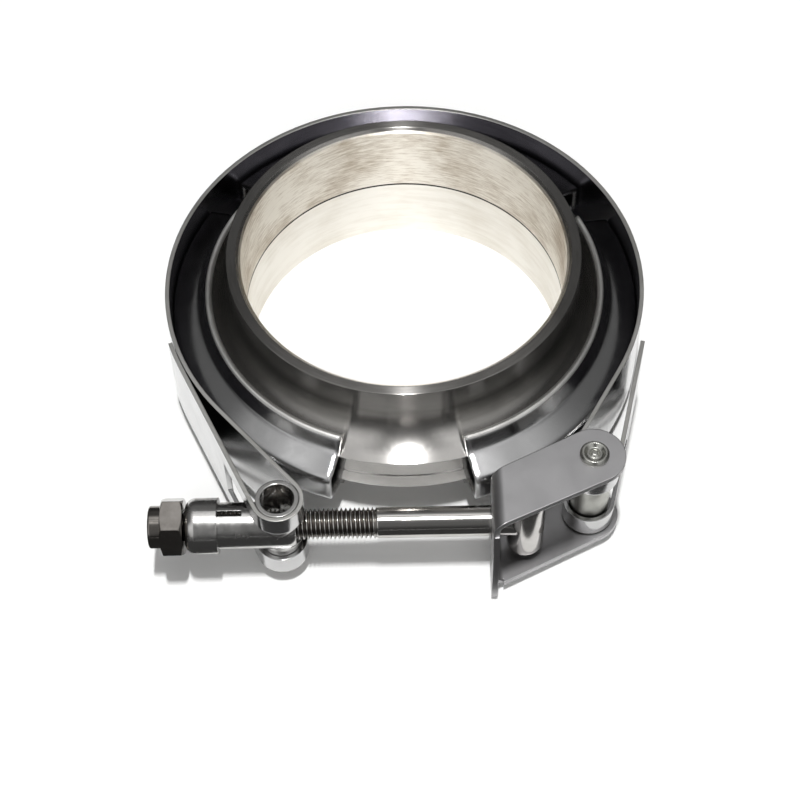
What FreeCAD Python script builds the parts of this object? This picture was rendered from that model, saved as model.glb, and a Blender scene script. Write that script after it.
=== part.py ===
import FreeCAD, Part
import math
import os

import Sketcher

# Quick-release V-band clamp, closed on its pair of weld flanges.
# Millimetres. The origin is on the bore axis, halfway up the strap; +Z is the bore axis,
# and the bolt and the latch lie on the -Y side.

DRIVING_SIZES = [
    # flange pair
    ("bore_diameter", 70.0),
    ("neck_wall", 3.0),
    ("upper_neck_height", 19.3),
    ("lower_neck_height", 14.6),
    ("rim_stand", 7.0),
    ("rim_half_height", 4.2),
    ("cone_angle", 20.0),
    ("root_radius", 8.0),
    ("spigot_wall", 5.0),
    ("spigot_height", 1.4),
    ("joint_clearance", 0.08),
    ("joint_height", 0.5),
    ("rim_edge_break", 0.3),
    ("weld_bevel", 1.0),
    # V retainers
    ("retainer_sheet", 1.3),
    ("retainer_clearance", 0.05),
    ("web_standoff", 4.8),
    ("lip_overlap", 0.7),
    ("lip_angle", 57.0),
    ("lip_length", 4.2),
    ("left_start_angle", 18.5),
    ("left_end_angle", 120.5),
    ("right_start_angle", 16.0),
    ("right_end_angle", 114.5),
    ("rear_start_angle", 127.3),
    ("rear_end_angle", 227.5),
    # outer strap
    ("strap_sheet", 0.9),
    ("strap_width", 20.0),
    ("strap_clearance", 0.1),
    ("slot_width", 10.2),
    ("slot_reach", 6.0),
    ("left_tail_angle", 72.0),
    ("right_tail_standoff", 0.7),
    ("right_tail_gap", 5.4),
    # trunnion
    ("trunnion_angle", 25.24),
    ("trunnion_standoff", 10.26),
    ("trunnion_diameter", 8.8),
    ("trunnion_wall", 0.95),
    ("trunnion_clearance", 0.1),
    ("sleeve_diameter", 9.6),
    ("sleeve_length", 18.4),
    ("sleeve_slot_width", 1.2),
    ("sleeve_slot_start", 3.2),
    ("collar_diameter", 11.6),
    ("collar_length", 6.8),
    ("collar_end_wall", 0.9),
    ("collar_dome", 2.2),
    # bolt and nut
    ("bolt_diameter", 6.35),
    ("bolt_passage_clearance", 0.3),
    ("bolt_mouth_clearance", 0.9),
    ("bolt_chamfer", 0.6),
    ("tee_standoff", 2.15),
    ("tee_diameter", 7.6),
    ("tee_height", 16.6),
    ("nut_flats", 11.1),
    ("nut_clocking", 38.0),
    ("nut_hex_length", 4.6),
    ("nut_collar_diameter", 8.8),
    ("nut_collar_length", 2.6),
    ("nut_lip", 0.4),
    ("thread_clearance", 0.08),
    ("insert_wall", 0.7),
    ("bolt_end_recess", 0.3),
    ("seat_clearance", 0.2),
    # latch
    ("pin_angle", 38.1),
    ("pin_standoff", 9.6),
    ("latch_sheet", 1.25),
    ("latch_side_clearance", 0.5),
    ("latch_bend_radius", 2.6),
    ("latch_end_radius", 6.4),
    ("web_reach", 21.0),
    ("web_rear", 3.5),
    ("web_front", 16.8),
    ("lower_plate_overhang", 0.9),
    ("tab_drop", 1.0),
    ("tab_reach", 1.6),
    ("tab_height", 16.2),
    ("tab_root", 2.0),
    ("bolt_slot_clearance", 0.9),
    ("pin_diameter", 5.0),
    ("pin_clearance", 0.08),
    ("pin_head_diameter", 6.0),
    ("pin_head_height", 1.1),
    ("bush_diameter", 8.2),
]

HALF_TURN = 180.0

# Sizes that follow from the driving ones, as formulas of a second sheet.
FOLLOWING_SIZES = [
    ("bore_radius", "Sizes.bore_diameter / 2"),
    ("neck_radius", "Fits.bore_radius + Sizes.neck_wall"),
    ("rim_radius", "Fits.neck_radius + Sizes.rim_stand"),
    ("cone_slope", "tan(Sizes.cone_angle)"),
    ("cone_root", "Sizes.rim_half_height + (Fits.rim_radius - Fits.neck_radius) * Fits.cone_slope"),
    ("spigot_radius", "Fits.bore_radius + Sizes.spigot_wall"),
    ("recess_radius", "Fits.spigot_radius + Sizes.joint_clearance"),
    ("recess_height", "Sizes.spigot_height + Sizes.joint_clearance"),
    # retainer section: the inner face lies on the cone of the flanges
    ("web_inner", "Fits.rim_radius + Sizes.web_standoff"),
    ("web_outer", "Fits.web_inner + Sizes.retainer_sheet"),
    ("cone_reference", "Sizes.rim_half_height + Sizes.retainer_clearance"),
    ("leg_rise", "Sizes.retainer_sheet / cos(Sizes.cone_angle)"),
    ("web_inner_half", "Fits.cone_reference - Sizes.web_standoff * Fits.cone_slope"),
    ("web_outer_half",
     "Fits.cone_reference + Fits.leg_rise - (Fits.web_outer - Fits.rim_radius) * Fits.cone_slope"),
    ("lip_inner_corner", "Fits.rim_radius - Sizes.lip_overlap"),
    ("lip_inner_corner_half", "Fits.cone_reference + Sizes.lip_overlap * Fits.cone_slope"),
    ("lip_fold", "1 + cos(Sizes.lip_angle - Sizes.cone_angle)"),
    ("lip_outer_corner",
     "Fits.lip_inner_corner + Sizes.retainer_sheet * (sin(Sizes.cone_angle) + sin(Sizes.lip_angle))"
     " / Fits.lip_fold"),
    ("lip_outer_corner_half",
     "Fits.lip_inner_corner_half + Sizes.retainer_sheet * (cos(Sizes.cone_angle)"
     " + cos(Sizes.lip_angle)) / Fits.lip_fold"),
    ("lip_inner_end", "Fits.lip_inner_corner - Sizes.lip_length * cos(Sizes.lip_angle)"),
    ("lip_inner_end_half", "Fits.lip_inner_corner_half + Sizes.lip_length * sin(Sizes.lip_angle)"),
    ("lip_outer_end", "Fits.lip_inner_end + Sizes.retainer_sheet * sin(Sizes.lip_angle)"),
    ("lip_outer_end_half", "Fits.lip_inner_end_half + Sizes.retainer_sheet * cos(Sizes.lip_angle)"),
    # strap: the middle of its sheet in the inner layer, in the outer layer and round an eye
    ("strap_radius", "Fits.web_outer + Sizes.strap_clearance + Sizes.strap_sheet / 2"),
    ("tail_radius", "Fits.strap_radius + Sizes.strap_sheet + Sizes.strap_clearance"),
    ("eye_bore_radius", "Sizes.trunnion_diameter / 2 + Sizes.trunnion_clearance"),
    ("eye_radius", "Fits.eye_bore_radius + Sizes.strap_sheet / 2"),
    ("band_top", "Sizes.strap_width / 2"),
    # axes of the trunnion and of the latch pin, which stand off the strap
    ("trunnion_distance", "Fits.strap_radius + Sizes.trunnion_standoff"),
    ("trunnion_across", "Fits.trunnion_distance * sin(Sizes.trunnion_angle)"),
    ("bolt_line_offset", "Fits.trunnion_distance * cos(Sizes.trunnion_angle)"),
    ("pin_distance", "Fits.strap_radius + Sizes.pin_standoff"),
    ("pin_across", "Fits.pin_distance * sin(Sizes.pin_angle)"),
    ("pin_offset", "Fits.pin_distance * cos(Sizes.pin_angle)"),
    # trunnion and bolt, along the bolt from the trunnion axis
    ("trunnion_bore_radius", "Sizes.trunnion_diameter / 2 - Sizes.trunnion_wall"),
    ("bolt_passage_radius", "Sizes.bolt_diameter / 2 + Sizes.bolt_passage_clearance"),
    ("sleeve_root_radius", "(Sizes.slot_width - Sizes.sleeve_diameter) / 2"),
    ("sleeve_bore_end", "Sizes.sleeve_length + Sizes.joint_clearance"),
    ("collar_end", "Fits.sleeve_bore_end + Sizes.collar_end_wall"),
    ("collar_start", "Fits.collar_end - Sizes.collar_length"),
    ("collar_bore_radius", "Sizes.sleeve_diameter / 2 + Sizes.joint_clearance / 2"),
    ("nut_seat", "Fits.collar_end + Sizes.seat_clearance"),
    ("nut_length", "Sizes.nut_hex_length + Sizes.nut_collar_length"),
    ("nut_corner_radius", "Sizes.nut_flats / 2 / cos(30)"),
    ("thread_radius", "Sizes.bolt_diameter / 2 + Sizes.thread_clearance"),
    ("insert_radius", "Fits.thread_radius + Sizes.insert_wall"),
    ("tee_reach",
     "Fits.trunnion_across + Fits.pin_across - Sizes.web_reach + Sizes.latch_sheet"
     " + Sizes.tee_standoff + Sizes.tee_diameter / 2"),
    ("bolt_end", "Fits.nut_seat + Fits.nut_length - Sizes.bolt_end_recess"),
    # latch
    ("latch_inner_half", "Fits.band_top + Sizes.latch_side_clearance"),
    ("latch_outer_half", "Fits.latch_inner_half + Sizes.latch_sheet"),
    ("lower_plate_front",
     "Sizes.web_front - Sizes.latch_bend_radius / 2 + Sizes.lower_plate_overhang"),
    ("pin_bore_radius", "Sizes.pin_diameter / 2 + Sizes.pin_clearance"),
    ("bush_half", "Fits.latch_inner_half - Sizes.joint_clearance"),
    ("bolt_from_pin", "Fits.bolt_line_offset - Fits.pin_offset"),
    ("bolt_slot_half", "Sizes.bolt_diameter / 2 + Sizes.bolt_slot_clearance"),
]

doc = FreeCAD.newDocument("VBandClamp")


def fill_sheet(name, rows, formulas):
    """Write one row for each size: its name, its value or formula, and the alias."""
    sheet = doc.addObject("Spreadsheet::Sheet", name)
    for row, (alias, content) in enumerate(rows, start=1):
        sheet.set(f"A{row}", alias)
        sheet.setAlias(f"B{row}", alias)
        sheet.set(f"B{row}", f"={content}" if formulas else str(content))
    return sheet


driving = fill_sheet("Sizes", DRIVING_SIZES, formulas=False)
following = fill_sheet("Fits", FOLLOWING_SIZES, formulas=True)
doc.recompute()


def size(alias):
    """The value of a driving or a following size, in the sheets' own units."""
    sheet = driving if alias in dict(DRIVING_SIZES) else following
    return float(sheet.get(alias))


def vector(x, y, z=0.0):
    return FreeCAD.Vector(x, y, z)


def polar(radius, degrees_from_front, z=0.0):
    """A point at an angle from the front, -Y, counted towards +X."""
    angle = math.radians(degrees_from_front)
    return vector(radius * math.sin(angle), -radius * math.cos(angle), z)


# ---------------------------------------------------------------- bodies and sketches

def new_body(label, across="0", along="0", up="0"):
    """A body named for its piece, with its place bound to the sheets."""
    body = doc.addObject("PartDesign::Body", label)
    body.Label = label
    for axis, expression in (("x", across), ("y", along), ("z", up)):
        if expression != "0":
            body.setExpression(f".Placement.Base.{axis}", expression)
    return body


def new_sketch(body, plane, offset=None):
    """A sketch on one of the body's own origin planes, or at a bound distance from it."""
    sketch = body.newObject("Sketcher::SketchObject", f"{body.Name}_sketch")
    support = next(item for item in body.Origin.OriginFeatures if item.Role == plane)
    sketch.AttachmentSupport = (support, [""])
    sketch.MapMode = "FlatFace"
    if offset:
        sketch.setExpression(".AttachmentOffset.Base.z", offset)
    return sketch


def bind(sketch, kind, arguments, expression):
    """Add one dimension whose value follows an expression; zero becomes a point on the axis."""
    value = float(sketch.evalExpression(expression))
    if kind in ("DistanceX", "DistanceY") and abs(value) < 1e-9:
        axis = -2 if kind == "DistanceX" else -1
        sketch.addConstraint(Sketcher.Constraint("PointOnObject", arguments[2], arguments[3], axis))
        return
    index = sketch.addConstraint(Sketcher.Constraint(kind, *arguments, value))
    if any(letter.isalpha() for letter in expression):
        sketch.setExpression(f"Constraints[{index}]", expression)


def draw_outline(sketch, corners):
    """A closed outline of straight edges; each corner is a pair of expressions."""
    points = [vector(*(float(sketch.evalExpression(part)) for part in corner)) for corner in corners]
    count = len(points)
    first = sketch.GeometryCount
    for index, point in enumerate(points):
        sketch.addGeometry(Part.LineSegment(point, points[(index + 1) % count]), False)
    for index, (across, up) in enumerate(corners):
        edge = first + index
        following_edge = first + (index + 1) % count
        sketch.addConstraint(Sketcher.Constraint("Coincident", edge, 2, following_edge, 1))
        bind(sketch, "DistanceX", (-1, 1, edge, 1), across)
        bind(sketch, "DistanceY", (-1, 1, edge, 1), up)


def draw_circle(sketch, radius, across="0", up="0"):
    """A circle with its radius and its centre bound to expressions."""
    centre = vector(float(sketch.evalExpression(across)), float(sketch.evalExpression(up)))
    circle = Part.Circle(centre, vector(0, 0, 1), float(sketch.evalExpression(radius)))
    index = sketch.addGeometry(circle, False)
    bind(sketch, "DistanceX", (-1, 1, index, 3), across)
    bind(sketch, "DistanceY", (-1, 1, index, 3), up)
    bind(sketch, "Radius", (index,), radius)


def revolve(body, corners, axis="V_Axis", angle="360", plane="XZ_Plane", middle=False):
    """Turn an outline, drawn as radius and height, about one of the sketch's own axes."""
    sketch = new_sketch(body, plane)
    draw_outline(sketch, corners)
    feature = body.newObject("PartDesign::Revolution", f"{body.Name}_turned")
    feature.Profile = sketch
    feature.ReferenceAxis = (sketch, [axis])
    feature.Midplane = middle
    if angle == "360":
        feature.Angle = 360
    else:
        feature.setExpression("Angle", angle)
    doc.recompute()
    return feature


def pad(body, sketch, length, middle=True, back=False):
    """Give a sketch a bound thickness, about its plane or to one side of it."""
    feature = body.newObject("PartDesign::Pad", f"{body.Name}_pad")
    feature.Profile = sketch
    feature.setExpression("Length", length)
    feature.Midplane = middle
    feature.Reversed = back
    doc.recompute()
    return feature


def cut_through(body, sketch):
    """Cut a sketch through the whole body, both ways, and make sure that it removed metal."""
    before = body.Shape.Volume
    feature = body.newObject("PartDesign::Pocket", f"{body.Name}_cut")
    feature.Profile = sketch
    feature.Type = "ThroughAll"
    feature.Midplane = True
    doc.recompute()
    if body.Shape.Volume > before - 1e-3:
        raise RuntimeError(f"{feature.Name} cuts nothing")
    return feature


def cut_to_depth(body, sketch, depth, label, away):
    """Cut a sketch on one side of its plane, the near or the away side, and make sure that it cuts."""
    before = body.Shape.Volume
    feature = body.newObject("PartDesign::Pocket", label)
    feature.Profile = sketch
    feature.setExpression("Length", depth)
    feature.Reversed = away
    doc.recompute()
    if body.Shape.Volume > before - 1e-3:
        raise RuntimeError(f"{label} cuts nothing")
    return feature


def matching_edges(shape, test):
    """The names of the edges that a test picks."""
    return [f"Edge{number}" for number, edge in enumerate(shape.Edges, start=1) if test(edge)]


def round_edges(body, base, radius, test):
    """Fillet the edges that a test picks, with a bound radius."""
    feature = body.newObject("PartDesign::Fillet", f"{body.Name}_fillet")
    feature.Base = (base, matching_edges(base.Shape, test))
    feature.setExpression("Radius", radius)
    doc.recompute()
    if feature.Shape.isNull() or not feature.Shape.isValid():
        raise RuntimeError(f"{feature.Name} does not round its edges")
    return feature


def circle_at(radius, height):
    """A test for a circular edge about Z with this radius, at this height."""
    def test(edge):
        curve = edge.Curve
        return (isinstance(curve, Part.Circle) and abs(curve.Radius - radius) < 1e-3
                and abs(curve.Center.z - height) < 1e-3)
    return test


# ---------------------------------------------------------------- flange pair

def make_upper_flange():
    """Female flange: neck for the tube, coned rim, and a recess for the other's spigot."""
    body = new_body("upper_flange", up="Sizes.joint_height")
    corners = [
        ("Fits.recess_radius", "Sizes.joint_clearance / 2"),
        ("Fits.rim_radius - Sizes.rim_edge_break", "Sizes.joint_clearance / 2"),
        ("Fits.rim_radius", "Sizes.joint_clearance / 2 + Sizes.rim_edge_break"),
        ("Fits.rim_radius", "Sizes.rim_half_height"),
        ("Fits.neck_radius", "Fits.cone_root"),
        ("Fits.neck_radius", "Sizes.upper_neck_height"),
        ("Fits.bore_radius + Sizes.weld_bevel", "Sizes.upper_neck_height"),
        ("Fits.bore_radius", "Sizes.upper_neck_height - Sizes.weld_bevel"),
        ("Fits.bore_radius", "Fits.recess_height"),
        ("Fits.recess_radius", "Fits.recess_height"),
    ]
    turned = revolve(body, corners)
    root = circle_at(size("neck_radius"), size("cone_root"))
    round_edges(body, turned, "Sizes.root_radius", root)
    return body


def make_lower_flange():
    """Male flange: the same rim and neck below the joint, and a spigot above it."""
    body = new_body("lower_flange", up="Sizes.joint_height")
    corners = [
        ("Fits.bore_radius", "Sizes.spigot_height"),
        ("Fits.bore_radius", "-Sizes.lower_neck_height"),
        ("Fits.neck_radius", "-Sizes.lower_neck_height"),
        ("Fits.neck_radius", "-Fits.cone_root"),
        ("Fits.rim_radius", "-Sizes.rim_half_height"),
        ("Fits.rim_radius", "-Sizes.joint_clearance / 2 - Sizes.rim_edge_break"),
        ("Fits.rim_radius - Sizes.rim_edge_break", "-Sizes.joint_clearance / 2"),
        ("Fits.spigot_radius", "-Sizes.joint_clearance / 2"),
        ("Fits.spigot_radius", "Sizes.spigot_height"),
    ]
    turned = revolve(body, corners)
    root = circle_at(size("neck_radius"), -size("cone_root"))
    round_edges(body, turned, "Sizes.root_radius", root)
    return body


# ---------------------------------------------------------------- V retainers

def make_retainer(label, start, end, clockwise):
    """One rolled segment: a narrow web, two legs on the flanges' cones, and flared lips."""
    body = new_body(label)
    upper_half = [
        ("Fits.web_outer", "Fits.web_outer_half"),
        ("Fits.lip_outer_corner", "Fits.lip_outer_corner_half"),
        ("Fits.lip_outer_end", "Fits.lip_outer_end_half"),
        ("Fits.lip_inner_end", "Fits.lip_inner_end_half"),
        ("Fits.lip_inner_corner", "Fits.lip_inner_corner_half"),
        ("Fits.web_inner", "Fits.web_inner_half"),
    ]
    lower_half = [(radius, f"-({height})") for radius, height in reversed(upper_half)]
    turned = revolve(body, upper_half + lower_half, angle=f"Sizes.{end} - Sizes.{start}", middle=True)
    outer_bends = [circle_at(size("web_outer"), side * size("web_outer_half")) for side in (1, -1)]
    inner_lips = [circle_at(size("lip_inner_corner"), side * size("lip_inner_corner_half"))
                  for side in (1, -1)]
    rounded = round_edges(body, turned, "Sizes.retainer_sheet",
                          lambda edge: any(test(edge) for test in outer_bends))
    round_edges(body, rounded, "Sizes.retainer_sheet / 2",
                lambda edge: any(test(edge) for test in inner_lips))
    # the segment is drawn about +X; turn its middle to its own place round the band
    side = "-" if clockwise else ""
    body.Placement = FreeCAD.Placement(vector(0, 0), FreeCAD.Rotation(vector(0, 0, 1), 1))
    body.setExpression(".Placement.Rotation.Angle",
                       f"{side}(Sizes.{start} + Sizes.{end}) / 2 - 90")
    body.setExpression(".Placement.Base.z", "Sizes.joint_height")
    return body


# ---------------------------------------------------------------- outer strap

def unit(degrees_from_front):
    return polar(1.0, degrees_from_front)


def tangent_turn(eye, ring_radius, crossing):
    """Angle at the origin between an eye's centre and the tangent point on the ring.

    A crossing tangent passes between the ring and the eye; the other one lies outside both.
    """
    reach = ring_radius + (size("eye_radius") if crossing else -size("eye_radius"))
    return math.degrees(math.acos(reach / eye.Length))


def strap_end(eye, side, ring_radius, tail_radius, tail_angle, tail_gap=0.0):
    """Middle line of one folded end, from the ring to its cut tail, as edges.

    The strap leaves the ring by the crossing tangent, wraps the eye on the gap side and
    comes back outside as a leg that meets the ring again, or ends a gap before it does.
    """
    eye_angle = math.degrees(math.atan2(eye.x, -eye.y))
    leave_turn = tangent_turn(eye, ring_radius, crossing=True)
    join_turn = tangent_turn(eye, tail_radius, crossing=False)
    leave, join = eye_angle + side * leave_turn, eye_angle + side * join_turn
    radius = size("eye_radius")
    ring_point = polar(ring_radius, leave)
    wrap_start = eye - unit(leave) * radius
    wrap_end = eye + unit(join) * radius
    wrap_middle = eye + unit(eye_angle - side * (HALF_TURN - leave_turn - join_turn) / 2) * radius
    join_point = polar(tail_radius, join)
    leg_end = join_point + (wrap_end - join_point).normalize() * tail_gap
    edges = [
        Part.makeLine(ring_point, wrap_start),
        Part.Arc(wrap_start, wrap_middle, wrap_end).toShape(),
        Part.makeLine(wrap_end, leg_end),
    ]
    if tail_angle > abs(join) + 0.5:
        tail_end = polar(tail_radius, side * tail_angle)
        tail_middle = polar(tail_radius, (join + side * tail_angle) / 2)
        edges.append(Part.Arc(join_point, tail_middle, tail_end).toShape())
    return edges, leave


def thicken(edges, thickness, height):
    """A strip of sheet that stands on edge: the middle line, its thickness and its height."""
    strip = None
    for edge in edges:
        start, end = edge.FirstParameter, edge.LastParameter
        base_normal = edge.tangentAt(start).cross(vector(0, 0, 1)).normalize()
        top = Part.makeLine(edge.valueAt(start) + base_normal * (thickness / 2) - vector(0, 0, height / 2),
                            edge.valueAt(start) - base_normal * (thickness / 2) - vector(0, 0, height / 2))
        if isinstance(edge.Curve, Part.Circle):
            turn = math.degrees(end - start) * (1 if edge.Curve.Axis.z > 0 else -1)
            face = top.revolve(edge.Curve.Center, vector(0, 0, 1), turn)
        else:
            face = top.extrude(edge.valueAt(end) - edge.valueAt(start))
        piece = face.extrude(vector(0, 0, height))
        if piece.Volume < 0:
            piece.reverse()
        strip = piece if strip is None else strip.fuse(piece)
    return strip.removeSplitter()


def make_strap():
    """The band: once round outside the retainers, with both ends folded into slotted eyes."""
    left_eye = vector(-size("trunnion_across"), -size("bolt_line_offset"))
    right_eye = vector(size("pin_across"), -size("pin_offset"))
    ring_radius, tail_radius = size("strap_radius"), size("tail_radius")
    left, left_leave = strap_end(left_eye, -1, ring_radius, tail_radius, size("left_tail_angle"))
    right, right_leave = strap_end(right_eye, 1, ring_radius,
                                   tail_radius + size("right_tail_standoff"), 0.0,
                                   tail_gap=size("right_tail_gap"))
    ring = Part.Arc(polar(ring_radius, right_leave), polar(ring_radius, HALF_TURN),
                    polar(ring_radius, left_leave)).toShape()
    sheet, width = size("strap_sheet"), size("strap_width")
    shape = thicken([ring], sheet, width)
    for edges in (left, right):
        shape = shape.fuse(thicken(edges, sheet, width))
    # the slot through each folded end leaves two eyes, above and below the bolt line
    reach, slot, beyond = size("slot_reach"), size("slot_width"), 2 * size("eye_radius")
    for eye in (left_eye, right_eye):
        block = Part.makeBox(4 * beyond, beyond + reach, slot, vector(-2 * beyond, -beyond, -slot / 2))
        block.rotate(vector(0, 0), vector(0, 0, 1), math.degrees(math.atan2(eye.x, -eye.y)))
        block.translate(eye)
        shape = shape.cut(block)
    feature = doc.addObject("Part::Feature", "outer_strap")
    feature.Label = "outer_strap"
    feature.Shape = shape.removeSplitter()
    return feature


# ---------------------------------------------------------------- trunnion, bolt and nut

BOLT_LINE = {"across": "-Fits.trunnion_across", "along": "-Fits.bolt_line_offset"}


def make_trunnion():
    """Hollow T: an upright tube that turns in the left eyes and a sleeve for the bolt."""
    body = new_body("trunnion_sleeve", **BOLT_LINE)
    sketch = new_sketch(body, "YZ_Plane")
    draw_circle(sketch, "Sizes.sleeve_diameter / 2")
    sleeve = pad(body, sketch, "Sizes.sleeve_length", middle=False, back=True)
    sketch = new_sketch(body, "YZ_Plane")
    draw_circle(sketch, "Sizes.sleeve_diameter / 2")
    nose = pad(body, sketch, "Sizes.sleeve_diameter / 2", middle=False)
    nose_reach = size("sleeve_diameter") / 2
    round_edges(body, nose, "Sizes.sleeve_diameter * 0.36",
                lambda edge: edge.BoundBox.XMin > nose_reach - 1e-3)
    sketch = new_sketch(body, "XY_Plane")
    draw_circle(sketch, "Sizes.trunnion_diameter / 2")
    tube = pad(body, sketch, "Sizes.strap_width")
    tube_radius = size("trunnion_diameter") / 2

    def at_tube_foot(edge):
        box = edge.BoundBox
        spread = max(abs(math.hypot(point.x, point.y) - tube_radius) for point in edge.discretize(9))
        return spread < 1e-2 and max(abs(box.ZMin), abs(box.ZMax)) < size("band_top") - 0.5

    round_edges(body, tube, "Fits.sleeve_root_radius", at_tube_foot)
    sketch = new_sketch(body, "XY_Plane")
    draw_circle(sketch, "Fits.trunnion_bore_radius")
    cut_through(body, sketch)
    sketch = new_sketch(body, "YZ_Plane")
    draw_circle(sketch, "Fits.bolt_passage_radius")
    cut_through(body, sketch)
    # the hole widens where the bolt leaves the tube
    sketch = new_sketch(body, "YZ_Plane")
    draw_circle(sketch, "Sizes.bolt_diameter / 2 + Sizes.bolt_mouth_clearance")
    cut_to_depth(body, sketch, "Sizes.sleeve_diameter", "bolt_mouth", away=True)
    # the formed sleeve stays open along its top, as far as the collar covers it
    sketch = new_sketch(body, "XY_Plane")
    half = "Sizes.sleeve_slot_width / 2"
    draw_outline(sketch, [
        ("-Sizes.sleeve_length - 1", f"-{half}"),
        ("-Sizes.trunnion_diameter / 2 - Sizes.sleeve_slot_start", f"-{half}"),
        ("-Sizes.trunnion_diameter / 2 - Sizes.sleeve_slot_start", half),
        ("-Sizes.sleeve_length - 1", half),
    ])
    cut_to_depth(body, sketch, "Sizes.sleeve_diameter", "sleeve_seam", away=True)
    return body


def make_collar():
    """Turned cap over the end of the sleeve; its domed end is the seat of the nut."""
    body = new_body("sleeve_collar", **BOLT_LINE)
    turned = revolve(body, [
        ("-Fits.collar_start", "Fits.collar_bore_radius"),
        ("-Fits.collar_start", "Sizes.collar_diameter / 2"),
        ("-Fits.collar_end", "Sizes.collar_diameter / 2"),
        ("-Fits.collar_end", "Fits.bolt_passage_radius"),
        ("-Fits.sleeve_bore_end", "Fits.bolt_passage_radius"),
        ("-Fits.sleeve_bore_end", "Fits.collar_bore_radius"),
    ], axis="H_Axis")
    outer, end = size("collar_diameter") / 2, -size("collar_end")

    def domed(edge):
        curve = edge.Curve
        return (isinstance(curve, Part.Circle) and abs(curve.Radius - outer) < 1e-3
                and abs(curve.Center.x - end) < 1e-3)

    round_edges(body, turned, "Sizes.collar_dome", domed)
    return body


def make_bolt():
    """T-bolt: a round shank with a chamfered end, forged to an upright barrel head."""
    body = new_body("t_bolt", **BOLT_LINE)
    revolve(body, [
        ("Fits.tee_reach", "0"),
        ("Fits.tee_reach", "Sizes.bolt_diameter / 2"),
        ("-Fits.bolt_end + Sizes.bolt_chamfer", "Sizes.bolt_diameter / 2"),
        ("-Fits.bolt_end", "Sizes.bolt_diameter / 2 - Sizes.bolt_chamfer"),
        ("-Fits.bolt_end", "0"),
    ], axis="H_Axis")
    sketch = new_sketch(body, "XY_Plane")
    draw_circle(sketch, "Sizes.tee_diameter / 2", across="Fits.tee_reach")
    head = pad(body, sketch, "Sizes.tee_height")
    rims = [circle_at(size("tee_diameter") / 2, side * size("tee_height") / 2) for side in (1, -1)]
    round_edges(body, head, "Sizes.bolt_chamfer / 2", lambda edge: any(test(edge) for test in rims))
    return body


def make_nut():
    """Lock nut: a hexagon and a round collar that holds the insert."""
    body = new_body("lock_nut", "-Fits.trunnion_across - Fits.nut_seat", BOLT_LINE["along"])
    sketch = new_sketch(body, "YZ_Plane")
    corner = "Fits.nut_corner_radius"
    half_flat = "Sizes.nut_flats / 2"
    draw_outline(sketch, [
        ("0", corner), (half_flat, f"{corner} / 2"), (half_flat, f"-{corner} / 2"),
        ("0", f"-{corner}"), (f"-{half_flat}", f"-{corner} / 2"), (f"-{half_flat}", f"{corner} / 2"),
    ])
    pad(body, sketch, "Sizes.nut_hex_length", middle=False, back=True)
    # the corners of the hexagon are turned down at both ends
    sketch = new_sketch(body, "XZ_Plane")
    bevel = "(Fits.nut_corner_radius - Sizes.nut_flats / 2)"
    for face, inward in (("0", "-"), ("-Sizes.nut_hex_length", "+")):
        draw_outline(sketch, [
            (face, half_flat),
            (f"{face} {inward} {bevel} * tan(30)", corner),
            (f"{face} {inward} {bevel} * tan(30)", f"{corner} + 1"),
            (face, f"{corner} + 1"),
        ])
    before = body.Shape.Volume
    groove = body.newObject("PartDesign::Groove", "hexagon_bevels")
    groove.Profile = sketch
    groove.ReferenceAxis = (sketch, ["H_Axis"])
    groove.Angle = 360
    doc.recompute()
    if body.Shape.Volume > before - 1e-3:
        raise RuntimeError("the bevels of the hexagon cut nothing")
    end = "(Sizes.nut_hex_length + Sizes.nut_collar_length)"
    turned = revolve(body, [
        ("-Sizes.nut_hex_length / 2", "Fits.insert_radius"),
        ("-Sizes.nut_hex_length / 2", "Sizes.nut_collar_diameter / 2"),
        (f"-{end}", "Sizes.nut_collar_diameter / 2"),
        (f"-{end}", "Fits.thread_radius + Sizes.nut_lip"),
        (f"-{end} + Sizes.nut_lip", "Fits.thread_radius + Sizes.nut_lip"),
        (f"-{end} + Sizes.nut_lip", "Fits.insert_radius"),
    ], axis="H_Axis")
    outer = size("nut_collar_diameter") / 2
    turned = round_edges(body, turned, "Sizes.nut_lip",
                         lambda edge: isinstance(edge.Curve, Part.Circle)
                         and abs(edge.Curve.Radius - outer) < 1e-3
                         and abs(edge.Curve.Center.x + size("nut_length")) < 1e-3)
    sketch = new_sketch(body, "YZ_Plane")
    draw_circle(sketch, "Fits.thread_radius")
    cut_through(body, sketch)
    # seat of the insert
    sketch = new_sketch(body, "XZ_Plane")
    draw_outline(sketch, [
        ("-Sizes.nut_hex_length", "Fits.thread_radius / 2"),
        ("-Sizes.nut_hex_length", "Fits.insert_radius"),
        (f"-{end} + Sizes.nut_lip", "Fits.insert_radius"),
        (f"-{end} + Sizes.nut_lip", "Fits.thread_radius / 2"),
    ])
    groove = body.newObject("PartDesign::Groove", "insert_seat")
    groove.Profile = sketch
    groove.ReferenceAxis = (sketch, ["H_Axis"])
    groove.Angle = 360
    # the corners of the hexagon point where tightening left them
    body.Placement = FreeCAD.Placement(body.Placement.Base, FreeCAD.Rotation(vector(1, 0, 0), 1))
    body.setExpression(".Placement.Rotation.Angle", "Sizes.nut_clocking")
    doc.recompute()
    return body


def make_insert():
    """Locking ring that the collar of the nut holds."""
    body = new_body("nut_insert", "-Fits.trunnion_across - Fits.nut_seat", BOLT_LINE["along"])
    near = "-Sizes.nut_hex_length - Sizes.joint_clearance / 2"
    far = "-Fits.nut_length + Sizes.nut_lip + Sizes.joint_clearance / 2"
    outer = "Fits.insert_radius - Sizes.joint_clearance / 2"
    revolve(body, [(near, "Fits.thread_radius"), (near, outer), (far, outer), (far, "Fits.thread_radius")],
            axis="H_Axis")
    return body


# ---------------------------------------------------------------- latch

PIN_LINE = {"across": "Fits.pin_across", "along": "-Fits.pin_offset"}


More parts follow.
